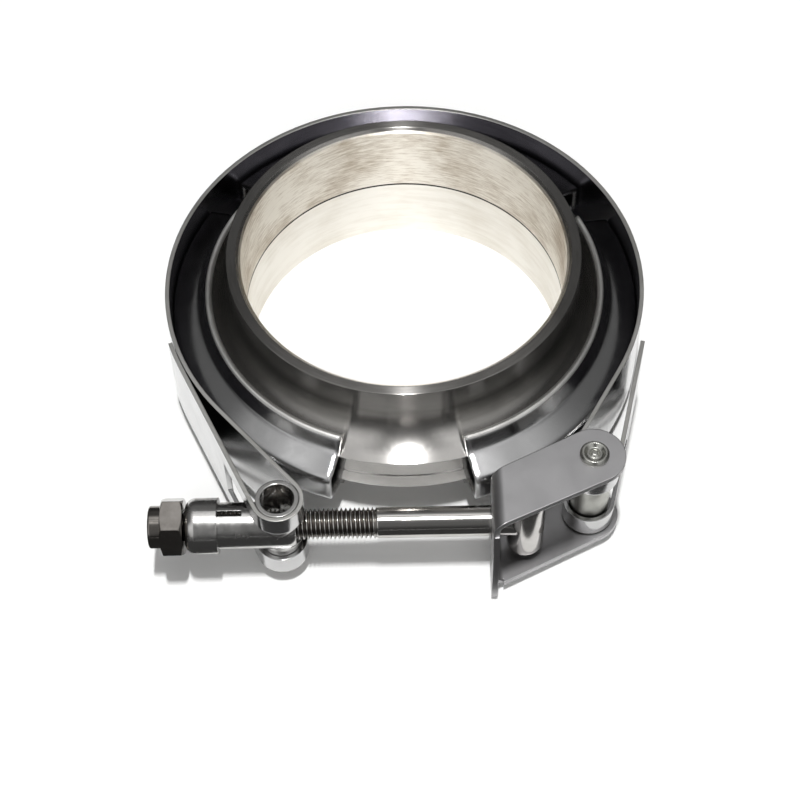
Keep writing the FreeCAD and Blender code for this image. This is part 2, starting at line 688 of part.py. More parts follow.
def draw_latch_outline(sketch, reach_size, front_size):
    """Seen from above: the web's edge, and two edges tangent to the round end at the pin."""
    radius = size("latch_end_radius")
    reach = float(sketch.evalExpression(reach_size))
    rear = vector(-reach, -size("web_rear"))
    front = vector(-reach, -float(sketch.evalExpression(front_size)))

    def touch(corner, side):
        angle = math.atan2(corner.y, corner.x) + side * math.acos(radius / corner.Length)
        return vector(radius * math.cos(angle), radius * math.sin(angle))

    upper, lower = touch(rear, -1), touch(front, 1)
    rear_edge = sketch.addGeometry(Part.LineSegment(rear, upper), False)
    end = sketch.addGeometry(Part.ArcOfCircle(
        Part.Circle(vector(0, 0), vector(0, 0, 1), radius),
        math.atan2(lower.y, lower.x), math.atan2(upper.y, upper.x)), False)
    front_edge = sketch.addGeometry(Part.LineSegment(lower, front), False)
    web = sketch.addGeometry(Part.LineSegment(front, rear), False)
    sketch.addConstraint([
        Sketcher.Constraint("Coincident", end, 3, -1, 1),
        Sketcher.Constraint("Tangent", rear_edge, 2, end, 2),
        Sketcher.Constraint("Tangent", end, 1, front_edge, 1),
        Sketcher.Constraint("Coincident", front_edge, 2, web, 1),
        Sketcher.Constraint("Coincident", web, 2, rear_edge, 1),
    ])
    bind(sketch, "Radius", (end,), "Sizes.latch_end_radius")
    bind(sketch, "DistanceX", (-1, 1, rear_edge, 1), f"-({reach_size})")
    bind(sketch, "DistanceY", (-1, 1, rear_edge, 1), "-Sizes.web_rear")
    bind(sketch, "DistanceX", (-1, 1, front_edge, 2), f"-({reach_size})")
    bind(sketch, "DistanceY", (-1, 1, front_edge, 2), f"-({front_size})")


def make_latch():
    """Lever folded from one sheet: two side plates, a web that hooks the bolt, a thumb tab."""
    body = new_body("latch", **PIN_LINE)
    sketch = new_sketch(body, "XY_Plane")
    draw_latch_outline(sketch, "Sizes.web_reach", "Sizes.web_front")
    pad(body, sketch, "2 * Fits.latch_outer_half")
    inner = "Fits.latch_inner_half"
    sketch = new_sketch(body, "XZ_Plane")
    far = "Sizes.latch_end_radius + 1"
    near = "-Sizes.web_reach + Sizes.latch_sheet"
    draw_outline(sketch, [(near, f"-{inner}"), (far, f"-{inner}"), (far, inner), (near, inner)])
    folded = cut_through(body, sketch)
    outer_x, inner_x = -size("web_reach"), -size("web_reach") + size("latch_sheet")

    def fold_line(across, half):
        def test(edge):
            ends = [vertex.Point for vertex in edge.Vertexes]
            level = abs(ends[0].z - ends[-1].z) < 1e-3
            return level and all(abs(point.x - across) < 1e-3 and abs(abs(point.z) - half) < 1e-3
                                 for point in ends)
        return test

    rounded = round_edges(body, folded, "Sizes.latch_bend_radius",
                          fold_line(outer_x, size("latch_outer_half")))
    round_edges(body, rounded, "Sizes.latch_bend_radius - Sizes.latch_sheet",
                fold_line(inner_x, size("latch_inner_half")))
    # the lower plate stands a little further forward than the upper one
    sketch = new_sketch(body, "XY_Plane", offset="-Fits.latch_outer_half")
    draw_latch_outline(sketch, "Sizes.web_reach - Sizes.latch_bend_radius", "Fits.lower_plate_front")
    pad(body, sketch, "Sizes.latch_sheet", middle=False)
    # thumb tab: the web runs forwards and on past the lower plate
    sketch = new_sketch(body, "YZ_Plane", offset="-Sizes.web_reach")
    bottom = "-Fits.latch_outer_half - Sizes.tab_drop"
    draw_outline(sketch, [
        ("-Sizes.web_front + Sizes.tab_root", "Fits.latch_inner_half - Sizes.latch_bend_radius"),
        ("-Sizes.web_front", "Fits.latch_inner_half - Sizes.latch_bend_radius"),
        ("-Sizes.web_front - Sizes.tab_reach", f"{bottom} + Sizes.tab_height"),
        ("-Sizes.web_front - Sizes.tab_reach", bottom),
        ("-Sizes.web_front + Sizes.tab_root", bottom),
    ])
    pad(body, sketch, "Sizes.latch_sheet", middle=False)
    # the bolt drops into a slot that is open on the side of the band
    sketch = new_sketch(body, "YZ_Plane")
    half = "Fits.bolt_slot_half"
    draw_outline(sketch, [("0", f"-{half}"), ("0", half), ("-Fits.bolt_from_pin", half),
                          ("-Fits.bolt_from_pin", f"-{half}")])
    cut_through(body, sketch)
    sketch = new_sketch(body, "YZ_Plane")
    draw_circle(sketch, half, across="-Fits.bolt_from_pin")
    cut_through(body, sketch)
    sketch = new_sketch(body, "XY_Plane")
    draw_circle(sketch, "Fits.pin_bore_radius")
    cut_through(body, sketch)
    return body


def make_pin():
    """Rivet through both plates: upset heads, the upper one dished round a central bump."""
    body = new_body("latch_pin", **PIN_LINE)
    plate = "(Fits.latch_outer_half + Sizes.joint_clearance / 2)"
    top = f"{plate} + Sizes.pin_head_height"
    head = "Sizes.pin_head_diameter / 2"
    revolve(body, [
        ("0", f"-({top})"),
        (f"{head} * 0.8", f"-({top})"),
        (head, f"-({plate} + Sizes.pin_head_height / 2)"),
        (head, f"-{plate}"),
        ("Sizes.pin_diameter / 2", f"-{plate}"),
        ("Sizes.pin_diameter / 2", plate),
        (head, plate),
        (head, f"{plate} + Sizes.pin_head_height / 2"),
        (f"{head} * 0.86", top),
        (f"{head} * 0.72", top),
        (f"{head} * 0.52", f"{plate} + Sizes.pin_head_height * 0.35"),
        (f"{head} * 0.36", f"{plate} + Sizes.pin_head_height * 0.35"),
        (f"{head} * 0.18", f"{plate} + Sizes.pin_head_height * 0.8"),
        ("0", f"{plate} + Sizes.pin_head_height * 0.8"),
    ])
    return body


def make_bush():
    """Bush on the rivet, inside the right eyes of the strap."""
    body = new_body("pin_bush", **PIN_LINE)
    revolve(body, [
        ("Fits.pin_bore_radius", "-Fits.bush_half"), ("Sizes.bush_diameter / 2", "-Fits.bush_half"),
        ("Sizes.bush_diameter / 2", "Fits.bush_half"), ("Fits.pin_bore_radius", "Fits.bush_half"),
    ])
    return body


# ---------------------------------------------------------------- build, check, write

def check(pieces):
    """Stop if anything failed to compute, or a piece is not one or more valid solids."""
    doc.recompute()
    failed = [item.Name for item in doc.Objects
              if "Invalid" in item.State or "Error" in item.State]
    if failed:
        raise RuntimeError("not computed: " + ", ".join(failed))
    for piece in pieces:
        if piece.Shape.isNull() or not piece.Shape.isValid() or not piece.Shape.Solids:
            raise RuntimeError(f"{piece.Label} is not a valid solid")


def main():
    pieces = [
        make_upper_flange(),
        make_lower_flange(),
        make_retainer("v_retainer_left", "left_start_angle", "left_end_angle", clockwise=True),
        make_retainer("v_retainer_right", "right_start_angle", "right_end_angle",
                      clockwise=False),
        make_retainer("v_retainer_rear", "rear_start_angle", "rear_end_angle",
                      clockwise=False),
        make_strap(),
        make_trunnion(),
        make_collar(),
        make_bolt(),
        make_nut(),
        make_insert(),
        make_latch(),
        make_pin(),
        make_bush(),
    ]
    check(pieces)
    os.makedirs("parts", exist_ok=True)
    for piece in pieces:
        piece.Shape.exportStep(f"parts/{piece.Label}.step")
        box = piece.Shape.BoundBox
        print(f"{piece.Label:18s} {len(piece.Shape.Solids)} solid {piece.Shape.Volume:9.1f} mm3  "
              f"x {box.XMin:6.1f} {box.XMax:6.1f}  y {box.YMin:6.1f} {box.YMax:6.1f}  "
              f"z {box.ZMin:6.1f} {box.ZMax:6.1f}")


main()
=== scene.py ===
import functools
import logging
import math
from dataclasses import dataclass, field
from enum import Enum
from typing import ClassVar

import bmesh
import bpy
import numpy as np
from mathutils import Matrix, Vector


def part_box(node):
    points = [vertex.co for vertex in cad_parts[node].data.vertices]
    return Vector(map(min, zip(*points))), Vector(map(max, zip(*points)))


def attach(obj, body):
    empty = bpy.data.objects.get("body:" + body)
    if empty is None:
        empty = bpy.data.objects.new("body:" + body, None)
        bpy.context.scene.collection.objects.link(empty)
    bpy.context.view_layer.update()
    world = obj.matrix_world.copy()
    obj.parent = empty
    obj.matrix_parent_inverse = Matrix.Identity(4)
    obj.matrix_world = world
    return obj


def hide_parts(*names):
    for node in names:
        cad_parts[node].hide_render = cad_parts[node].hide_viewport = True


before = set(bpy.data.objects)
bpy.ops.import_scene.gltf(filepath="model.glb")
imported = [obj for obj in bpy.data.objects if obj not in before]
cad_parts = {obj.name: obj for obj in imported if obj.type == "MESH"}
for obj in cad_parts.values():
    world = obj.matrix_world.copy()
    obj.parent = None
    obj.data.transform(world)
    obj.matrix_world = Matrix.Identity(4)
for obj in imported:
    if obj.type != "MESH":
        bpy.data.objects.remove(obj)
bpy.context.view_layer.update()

# The v band clamp's looks: the finish of each node, a threaded bolt in the place of the plain one,
# and a small studio. Lengths are in metres, except those whose names or notes say millimetres.
MM = 0.001
# Lowest and highest corner of the bolt's node, and where the bolt's axis lies in Y.
BOLT_BOX_MM = tuple(np.array(corner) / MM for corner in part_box("t_bolt"))
BOLT_LINE_Y_MM = float(BOLT_BOX_MM[0][1] + BOLT_BOX_MM[1][1]) / 2
log = logging.getLogger("v_band_clamp")

Tree = bpy.types.NodeTree
Socket = bpy.types.NodeSocket
Vector3 = tuple[float, float, float]

# The ways across the bore's axis, across the bolt's axis and across a level plane.
ACROSS_BORE: Vector3 = (1.0, 1.0, 0.0)
ACROSS_BOLT: Vector3 = (0.0, 1.0, 1.0)
ACROSS_PLANE: Vector3 = (0.0, 0.0, 1.0)


# ---------------------------------------------------------------- colours and nodes

# Where the Mix node keeps its sockets, whose names repeat for each kind of data.
COLOUR_A, COLOUR_B, COLOUR_OUT = 6, 7, 2
NUMBER_A, NUMBER_B, NUMBER_OUT = 2, 3, 0


def srgb(code: str) -> tuple[float, float, float, float]:
    """Turn an sRGB hex colour into the linear colour that a shader reads.

    Args:
        code: Six hex digits, with or without a leading hash.

    Returns:
        Linear red, green, blue and an alpha of 1.
    """
    digits = code.lstrip("#")
    channels = [int(digits[i:i + 2], 16) / 255 for i in (0, 2, 4)]
    linear = [c / 12.92 if c <= 0.04045 else ((c + 0.055) / 1.055) ** 2.4 for c in channels]
    return (*linear, 1.0)


def add_node(tree: Tree, kind: str, settings: dict | None = None,
             values: dict | None = None) -> bpy.types.Node:
    """Add one node with its settings, and give its sockets constants or links.

    Args:
        tree: The node tree that gets the node.
        kind: The node's type name.
        settings: The node's own properties.
        values: A constant or an output socket for each input, by its name or its index.

    Returns:
        The new node.
    """
    node = tree.nodes.new(kind)
    for name, value in (settings or {}).items():
        setattr(node, name, value)
    for key, value in (values or {}).items():
        socket = node.inputs[key]
        if isinstance(value, Socket):
            tree.links.new(value, socket)
        else:
            socket.default_value = value
    return node


def distance_across(tree: Tree, place: Socket, across: Vector3,
                    centre: Vector3 = (0.0, 0.0, 0.0)) -> Socket:
    """Measure how far each point p lies from a line or a plane: |w (p - c)|, term by term.

    Args:
        tree: The material's node tree.
        place: Object coordinates.
        across: w, which is 1 along each way across the line or plane and 0 along it.
        centre: c, a point of the line or plane, in metres.

    Returns:
        The distance in metres.
    """
    offset = tuple(-w * c for w, c in zip(across, centre))
    flat = add_node(tree, "ShaderNodeVectorMath", {"operation": "MULTIPLY_ADD"}, {
        0: place, 1: across, 2: offset}).outputs["Vector"]
    return add_node(tree, "ShaderNodeVectorMath", {"operation": "LENGTH"}, {0: flat}).outputs["Value"]


def along_the_turn(tree: Tree, place: Socket, reach_mm: float) -> Socket:
    """Unroll the part round the bore's axis, so that a pattern on it runs round the part.

    Args:
        tree: The material's node tree.
        place: Object coordinates.
        reach_mm: Length that one radian of turn takes up; the shorter it is, the longer the marks.

    Returns:
        The vector (radius, angle times the reach, height).
    """
    parts = add_node(tree, "ShaderNodeSeparateXYZ", None, {"Vector": place}).outputs
    turn = add_node(tree, "ShaderNodeMath", {"operation": "ARCTAN2"}, {
        0: parts["Y"], 1: parts["X"]}).outputs["Value"]
    slow = add_node(tree, "ShaderNodeMath", {"operation": "MULTIPLY"}, {
        0: turn, 1: reach_mm * MM}).outputs["Value"]
    radius = distance_across(tree, place, ACROSS_BORE)
    return add_node(tree, "ShaderNodeCombineXYZ", None, {
        "X": radius, "Y": slow, "Z": parts["Z"]}).outputs["Vector"]


def empty_material(name: str) -> bpy.types.Material:
    """Make a material whose node tree is empty.

    Args:
        name: The material's name.

    Returns:
        The new material.
    """
    material = bpy.data.materials.new(name)
    material.use_nodes = True
    material.node_tree.nodes.clear()
    return material


# ---------------------------------------------------------------- finishes

@dataclass(frozen=True)
class Gauge:
    """What a region of a piece is measured from.

    Attributes:
        across: 1 along each way across the line or plane, and 0 along it.
        line_y_mm: Where the line lies in Y.
        beyond: The region lies beyond the limit, and not within it.
    """

    across: Vector3
    line_y_mm: float = 0.0
    beyond: bool = False


class Where(Enum):
    """What a region of a piece goes by.

    BORE lies near the bore's axis, THREAD_ROOT near the bolt's axis, CUT_EDGE far above and below
    the piece's middle plane, and JOINT near a level plane.
    """

    BORE = Gauge(ACROSS_BORE)
    THREAD_ROOT = Gauge(ACROSS_BOLT, line_y_mm=BOLT_LINE_Y_MM)
    CUT_EDGE = Gauge(ACROSS_PLANE, beyond=True)
    JOINT = Gauge(ACROSS_PLANE)


@dataclass(frozen=True)
class Region:
    """A part of a piece, by its distance from a line or a plane.

    Attributes:
        where: The line or plane.
        limit_mm: The distance up to which, or beyond which, the region lies.
        middle_mm: Height of the plane.
        border_mm: Width of the soft border outside the limit.
    """

    where: Where
    limit_mm: float
    middle_mm: float = 0.0
    border_mm: float = 0.2

    def mask(self, tree: Tree, place: Socket) -> Socket:
        """Say where the region lies.

        Args:
            tree: The material's node tree.
            place: Object coordinates.

        Returns:
            1 inside the region and 0 outside it.
        """
        gauge = self.where.value
        measure = distance_across(tree, place, gauge.across, (
            0.0, gauge.line_y_mm * MM, self.middle_mm * MM))
        outside_mm = self.limit_mm + (-self.border_mm if gauge.beyond else self.border_mm)
        return add_node(tree, "ShaderNodeMapRange", None, {
            "Value": measure, "From Min": outside_mm * MM,
            "From Max": self.limit_mm * MM}).outputs["Result"]


@dataclass(frozen=True)
class Zone:
    """A region of a piece that has its own colour and gloss.

    Attributes:
        region: Where the zone lies.
        colour: Its main colour, as sRGB hex.
        shade: The darker colour of its marks, as sRGB hex.
        roughness: Its roughness.
        anisotropy: Its anisotropy; with 0 the piece keeps its own.
        mark_height_mm: Height of one mark, which is long round the bore.
        patch_size_mm: Size of the patches in which the marks come thicker.
        seam: A thin dark joint inside the zone.
    """

    region: Region
    colour: str
    shade: str
    roughness: float
    anisotropy: float = 0.0
    mark_height_mm: float = 0.5
    patch_size_mm: float = 15.0
    seam: Region | None = None

    # Reach of one radian in the marks, the sum of noises over which they come in, and the colour of
    # the joint.
    MARK_REACH_MM: ClassVar[float] = 4.0
    MARK_RANGE: ClassVar[tuple[float, float]] = (0.88, 1.28)
    SEAM_COLOUR: ClassVar[str] = "#1C1916"

    def tint(self, tree: Tree, place: Socket) -> Socket:
        """Colour the zone, with long marks of the darker shade that run round the bore.

        Args:
            tree: The material's node tree.
            place: Object coordinates.

        Returns:
            The zone's colour.
        """
        marks = add_node(tree, "ShaderNodeTexNoise", {"noise_dimensions": "3D"}, {
            "Vector": along_the_turn(tree, place, self.MARK_REACH_MM),
            "Scale": 1.0 / (self.mark_height_mm * MM), "Detail": 5.0, "Roughness": 0.7}).outputs["Fac"]
        patches = add_node(tree, "ShaderNodeTexNoise", {"noise_dimensions": "3D"}, {
            "Vector": place, "Scale": 1.0 / (self.patch_size_mm * MM), "Detail": 3.0}).outputs["Fac"]
        both = add_node(tree, "ShaderNodeMath", {"operation": "ADD"}, {
            0: marks, 1: patches}).outputs["Value"]
        share = add_node(tree, "ShaderNodeMapRange", None, {
            "Value": both, "From Min": self.MARK_RANGE[0],
            "From Max": self.MARK_RANGE[1]}).outputs["Result"]
        tint = add_node(tree, "ShaderNodeMix", {"data_type": "RGBA"}, {
            "Factor": share, COLOUR_A: srgb(self.colour), COLOUR_B: srgb(self.shade)}).outputs[COLOUR_OUT]
        if self.seam is None:
            return tint
        return add_node(tree, "ShaderNodeMix", {"data_type": "RGBA"}, {
            "Factor": self.seam.mask(tree, place), COLOUR_A: tint,
            COLOUR_B: srgb(self.SEAM_COLOUR)}).outputs[COLOUR_OUT]


class Grain(Enum):
    """How the surface was finished, which says which way its fine scratches run."""

    TURNED = "turned on a lathe: lines run round the bore"
    ROLLED = "rolled and polished sheet: faint lines run round the band"
    BRUSHED = "drawn or brushed: lines lie level, along the piece"
    TUMBLED = "tumbled in media: small marks in every direction"


# Reach of one radian for the grains that run round the bore, and the squeeze that lays lines level.
TURN_REACH_MM: dict[Grain, float] = {Grain.TURNED: 2.5, Grain.ROLLED: 6.0}
LEVEL_LINES: Vector3 = (0.05, 0.05, 1.0)


@dataclass(frozen=True)
class Steel:
    """Stainless steel with one finish: its colour, its gloss, its grain and its stains.

    Attributes:
        name: The material's name.
        colour: Its main colour, as sRGB hex.
        shade: The colour of its darker clouds and pits, as sRGB hex.
        roughness: Lowest and highest roughness, which follow the clouds.
        grain: Which way its scratches run.
        line_spacing_mm: Distance from one scratch to the next. Real ones are 0.05 to 0.2 mm apart,
            which is too fine to show, so they are drawn coarser.
        line_depth_mm: Depth of the scratches.
        cloud_size_mm: Size of the clouds.
        anisotropy: How far a highlight is drawn out at right angles to the lines round the bore.
        pit_amount: How dark the pits are, from 0 to 1.
        edge_radius_mm: Radius that edges and folds seem to have.
        zones: Regions with another colour and gloss, some a real finish and some painted shade; a
        later one lies over those before it.
    """

    name: str
    colour: str
    shade: str
    roughness: tuple[float, float]
    grain: Grain
    line_spacing_mm: float = 0.4
    line_depth_mm: float = 0.004
    cloud_size_mm: float = 9.0
    anisotropy: float = 0.0
    pit_amount: float = 0.0
    edge_radius_mm: float = 0.25
    zones: tuple[Zone, ...] = ()

    # The stretch of a noise that holds its clouds or its pits, how dark the clouds are, the size of
    # the pits, how strongly the scratches show, the quarter turn of the highlight, and the rays that
    # feel out an edge.
    CLOUD_RANGE: ClassVar[tuple[float, float]] = (0.32, 0.68)
    PIT_RANGE: ClassVar[tuple[float, float]] = (0.62, 0.72)
    CLOUD_SHARE: ClassVar[float] = 0.5
    PIT_SIZE_MM: ClassVar[float] = 0.9
    RELIEF: ClassVar[float] = 0.35
    QUARTER_TURN: ClassVar[float] = 0.25
    EDGE_SAMPLES: ClassVar[int] = 8

    def build(self) -> bpy.types.Material:
        """Make the material.

        Returns:
            A material that reads Object coordinates.
        """
        material = empty_material(self.name)
        tree = material.node_tree
        place = add_node(tree, "ShaderNodeTexCoord").outputs["Object"]
        clouds = self.clouds(tree, place)
        rough = add_node(tree, "ShaderNodeMapRange", None, {
            "Value": clouds, "To Min": self.roughness[0], "To Max": self.roughness[1]}).outputs["Result"]
        colour = add_node(tree, "ShaderNodeMix", {"data_type": "RGBA"}, {
            "Factor": self.stain(tree, place, clouds), COLOUR_A: srgb(self.colour),
            COLOUR_B: srgb(self.shade)}).outputs[COLOUR_OUT]
        stretch: float | Socket = self.anisotropy
        for zone in self.zones:
            mask = zone.region.mask(tree, place)
            colour = add_node(tree, "ShaderNodeMix", {"data_type": "RGBA"}, {
                "Factor": mask, COLOUR_A: colour, COLOUR_B: zone.tint(tree, place)}).outputs[COLOUR_OUT]
            rough = add_node(tree, "ShaderNodeMix", {"data_type": "FLOAT"}, {
                "Factor": mask, NUMBER_A: rough, NUMBER_B: zone.roughness}).outputs[NUMBER_OUT]
            if zone.anisotropy:
                stretch = add_node(tree, "ShaderNodeMix", {"data_type": "FLOAT"}, {
                    "Factor": mask, NUMBER_A: stretch, NUMBER_B: zone.anisotropy}).outputs[NUMBER_OUT]
        looks = {"Base Color": colour, "Metallic": 1.0, "Roughness": rough,
                 "Normal": self.surface(tree, place)}
        if self.anisotropy:
            looks |= {"Anisotropic": stretch, "Anisotropic Rotation": self.QUARTER_TURN,
                      "Tangent": self.round_the_bore(tree, place)}
        metal = add_node(tree, "ShaderNodeBsdfPrincipled", None, looks)
        add_node(tree, "ShaderNodeOutputMaterial", None, {"Surface": metal.outputs["BSDF"]})
        return material

    def clouds(self, tree: Tree, place: Socket) -> Socket:
        """Draw the broad clouds that every real finish has.

        Args:
            tree: The material's node tree.
            place: Object coordinates.

        Returns:
            0 between the clouds and 1 inside them.
        """
        noise = add_node(tree, "ShaderNodeTexNoise", {"noise_dimensions": "3D"}, {
            "Vector": place, "Scale": 1.0 / (self.cloud_size_mm * MM), "Detail": 4.0,
            "Roughness": 0.6}).outputs["Fac"]
        return add_node(tree, "ShaderNodeMapRange", None, {
            "Value": noise, "From Min": self.CLOUD_RANGE[0],
            "From Max": self.CLOUD_RANGE[1]}).outputs["Result"]

    def stain(self, tree: Tree, place: Socket, clouds: Socket) -> Socket:
        """Say where the darker shade lies: in the clouds, and in small pits where there are any.

        Args:
            tree: The material's node tree.
            place: Object coordinates.
            clouds: The clouds, from 0 to 1.

        Returns:
            The share of the shade, from 0 to 1.
        """
        broad = add_node(tree, "ShaderNodeMath", {"operation": "MULTIPLY"}, {
            0: clouds, 1: self.CLOUD_SHARE}).outputs["Value"]
        if not self.pit_amount:
            return broad
        noise = add_node(tree, "ShaderNodeTexNoise", {"noise_dimensions": "3D"}, {
            "Vector": place, "Scale": 1.0 / (self.PIT_SIZE_MM * MM), "Detail": 2.0}).outputs["Fac"]
        pits = add_node(tree, "ShaderNodeMapRange", None, {
            "Value": noise, "From Min": self.PIT_RANGE[0], "From Max": self.PIT_RANGE[1],
            "To Max": self.pit_amount}).outputs["Result"]
        return add_node(tree, "ShaderNodeMath", {"operation": "ADD", "use_clamp": True}, {
            0: broad, 1: pits}).outputs["Value"]

    def surface(self, tree: Tree, place: Socket) -> Socket:
        """Round the edges and raise the scratches.

        Args:
            tree: The material's node tree.
            place: Object coordinates.

        Returns:
            The surface's normal.
        """
        rounded = add_node(tree, "ShaderNodeBevel", {"samples": self.EDGE_SAMPLES}, {
            "Radius": self.edge_radius_mm * MM}).outputs["Normal"]
        return add_node(tree, "ShaderNodeBump", None, {
            "Normal": rounded, "Strength": self.RELIEF, "Distance": self.line_depth_mm * MM,
            "Height": self.grain_lines(tree, place)}).outputs["Normal"]

    def grain_lines(self, tree: Tree, place: Socket) -> Socket:
        """Draw the scratches as a height, stretched along the way that they run.

        Args:
            tree: The material's node tree.
            place: Object coordinates.

        Returns:
            A height from 0 to 1.
        """
        if self.grain in TURN_REACH_MM:
            place = along_the_turn(tree, place, TURN_REACH_MM[self.grain])
        elif self.grain is Grain.BRUSHED:
            place = add_node(tree, "ShaderNodeVectorMath", {"operation": "MULTIPLY"}, {
                0: place, 1: LEVEL_LINES}).outputs["Vector"]
        return add_node(tree, "ShaderNodeTexNoise", {"noise_dimensions": "3D"}, {
            "Vector": place, "Scale": 1.0 / (self.line_spacing_mm * MM), "Detail": 3.0,
            "Roughness": 0.65}).outputs["Fac"]

    @staticmethod
    def round_the_bore(tree: Tree, place: Socket) -> Socket:
        """Give the direction round the Z axis at each point: z x p = (-y, x, 0).

        Args:
            tree: The material's node tree.
            place: Object coordinates.

        Returns:
            The direction in world space.
        """
        turned = add_node(tree, "ShaderNodeVectorMath", {"operation": "CROSS_PRODUCT"}, {
            0: (0.0, 0.0, 1.0), 1: place}).outputs["Vector"]
        return add_node(tree, "ShaderNodeVectorTransform", {
            "vector_type": "VECTOR", "convert_from": "OBJECT", "convert_to": "WORLD"}, {
            "Vector": turned}).outputs["Vector"]


@functools.cache
def material_of(finish: Steel) -> bpy.types.Material:
    """Make a finish's material the first time it is asked for, and give the same one after that."""
    return finish.build()


# The bore, inside the neck's wall, and the dark line where the two flanges meet in it.
BORE = Region(Where.BORE, 35.3)
FLANGE_JOINT = Region(Where.JOINT, 0.16, middle_mm=1.94, border_mm=0.16)

# Turned 304 stainless: bright, with a radial streak of light. The fold at the neck's foot is painted
# darker, as painted shade, and the bore keeps the tube's dull tan skin.
UPPER_FLANGE_STEEL = Steel(
    "turned_stainless_female", "#C2C0BD", "#AAA7A3", (0.17, 0.23), Grain.TURNED,
    line_spacing_mm=0.35, anisotropy=1.0,
    # Painted shade: the fold at the neck's foot is coloured darker.
    zones=(Zone(Region(Where.BORE, 38.3, border_mm=2.6), "#9A9895", "#82807D", 0.2,
                anisotropy=1.0, patch_size_mm=25.0),
           Zone(BORE, "#F3EEE4", "#AFA08C", 0.42, anisotropy=0.97, seam=FLANGE_JOINT)))
# The same turned stainless. Its bore is paler and cleaner, because no gas has stained it.
LOWER_FLANGE_STEEL = Steel(
    "turned_stainless_male", "#C2C0BD", "#AAA7A3", (0.17, 0.23), Grain.TURNED,
    line_spacing_mm=0.35, anisotropy=1.0,
    zones=(Zone(BORE, "#F4F1EA", "#E2DDD3", 0.36, anisotropy=0.97, mark_height_mm=1.6,
                seam=FLANGE_JOINT),))
# Rolled 304 sheet, polished and folded: dark mirror faces with broad bright folds, and pale, rough
# lips where it was sheared.
RETAINER_STEEL = Steel(
    "rolled_stainless_sheet", "#BEBEBE", "#A4A4A4", (0.12, 0.22), Grain.ROLLED,
    line_spacing_mm=0.8, line_depth_mm=0.006, anisotropy=0.3, edge_radius_mm=1.6,
    zones=(Zone(Region(Where.CUT_EDGE, 8.2, middle_mm=0.5), "#D0CFCC", "#A9A8A5", 0.42),))
# Polished 304 strip: a mirror outside, painted shade on its inside face, pale at its slit edges.
STRAP_STEEL = Steel(
    "polished_stainless_strip", "#C4C4C4", "#AEAEAE", (0.12, 0.2), Grain.ROLLED,
    line_spacing_mm=1.2, line_depth_mm=0.005,
    # Painted shade: the strap's inside face is coloured dark.
    zones=(Zone(Region(Where.BORE, 51.3), "#57555B", "#424046", 0.24),
           Zone(Region(Where.CUT_EDGE, 9.95), "#B4B3B0", "#9A9995", 0.4)))
# Pressed 304 tube, tumbled: bright, with uneven patches and small pits.
TRUNNION_STEEL = Steel(
    "tumbled_stainless", "#C6C5C3", "#A6A4A2", (0.13, 0.30), Grain.TUMBLED,
    line_spacing_mm=1.4, line_depth_mm=0.02, cloud_size_mm=3.0, pit_amount=0.2)
# Drawn 304 bar: a clean mirror along the shank, with painted shade in the roots of the thread.
BOLT_STEEL = Steel(
    "drawn_stainless_bar", "#C2C0BD", "#ABA8A4", (0.10, 0.18), Grain.BRUSHED,
    line_spacing_mm=0.5, cloud_size_mm=5.0,
    # Painted shade: the roots of the thread are coloured darker.
    zones=(Zone(Region(Where.THREAD_ROOT, 2.72, border_mm=0.35), "#5A5550", "#45413D", 0.35),))
# Machined nut: a darker, warmer steel than the sheet, with sharp glints on its flats.
NUT_STEEL = Steel(
    "machined_nut_stainless", "#8B8783", "#6C6863", (0.07, 0.15), Grain.TUMBLED,
    line_spacing_mm=0.8, cloud_size_mm=2.5, pit_amount=0.15)
# The nut's crimped locking ring: dull grey.
INSERT_STEEL = Steel(
    "dull_insert_steel", "#8E8C8A", "#6E6C6A", (0.35, 0.5), Grain.TUMBLED, line_spacing_mm=0.6)
# Bead-blasted 304 sheet: an even satin grey with no mirror in it.
LATCH_STEEL = Steel(
    "satin_stainless_sheet", "#AFAEAF", "#9D9C9D", (0.34, 0.44), Grain.TUMBLED,
    line_spacing_mm=0.5, line_depth_mm=0.006, cloud_size_mm=7.0)
# Cold-headed rivet: satin, and a little yellow.
RIVET_STEEL = Steel(
    "upset_rivet_stainless", "#B2B2AD", "#96958F", (0.22, 0.36), Grain.TUMBLED,
    line_spacing_mm=0.6, cloud_size_mm=2.0)
# Turned and tumbled bush: pale and nearly matte.
BUSH_STEEL = Steel(
    "pale_bush_stainless", "#BDBDB7", "#A9A9A3", (0.30, 0.42), Grain.TUMBLED,
    line_spacing_mm=0.8, cloud_size_mm=3.0)


# ---------------------------------------------------------------- meshes

# Points that lie this near are one point, and an edge shorter than this is none, in metres.
MERGE_DISTANCE = 1e-7
SHORTEST_EDGE = 1e-8


def grid_piece(name: str, points: np.ndarray, closed_round: bool, material: bpy.types.Material,
               smooth: bool = True) -> bpy.types.Object:
    """Make a piece from a grid of points, with quads between neighbours.

    Args:
        name: The piece's name.
        points: Points in metres, of shape (along, round, 3).
        closed_round: Join the last column to the first.
        material: The piece's finish.
        smooth: Shade the faces smooth.

    Returns:
        The linked object, whose place is in its mesh.
    """
    along, around = points.shape[:2]
    first = np.arange(along - 1)[:, None] * around
    columns = np.arange(around if closed_round else around - 1)[None, :]
    beyond = (columns + 1) % around
    quads = np.stack([first + columns, first + beyond, first + around + beyond,
                      first + around + columns], axis=-1).reshape(-1, 4)
    mesh = bpy.data.meshes.new(name)
    mesh.from_pydata(points.reshape(-1, 3), [], quads)
    mesh.polygons.foreach_set("use_smooth", np.full(len(mesh.polygons), smooth))
    mesh.materials.append(material)
    mesh.update()
    close_poles(mesh)
    log.info("%s: %d faces of %s", name, len(mesh.polygons), material.name)
    return add_object(name, mesh)


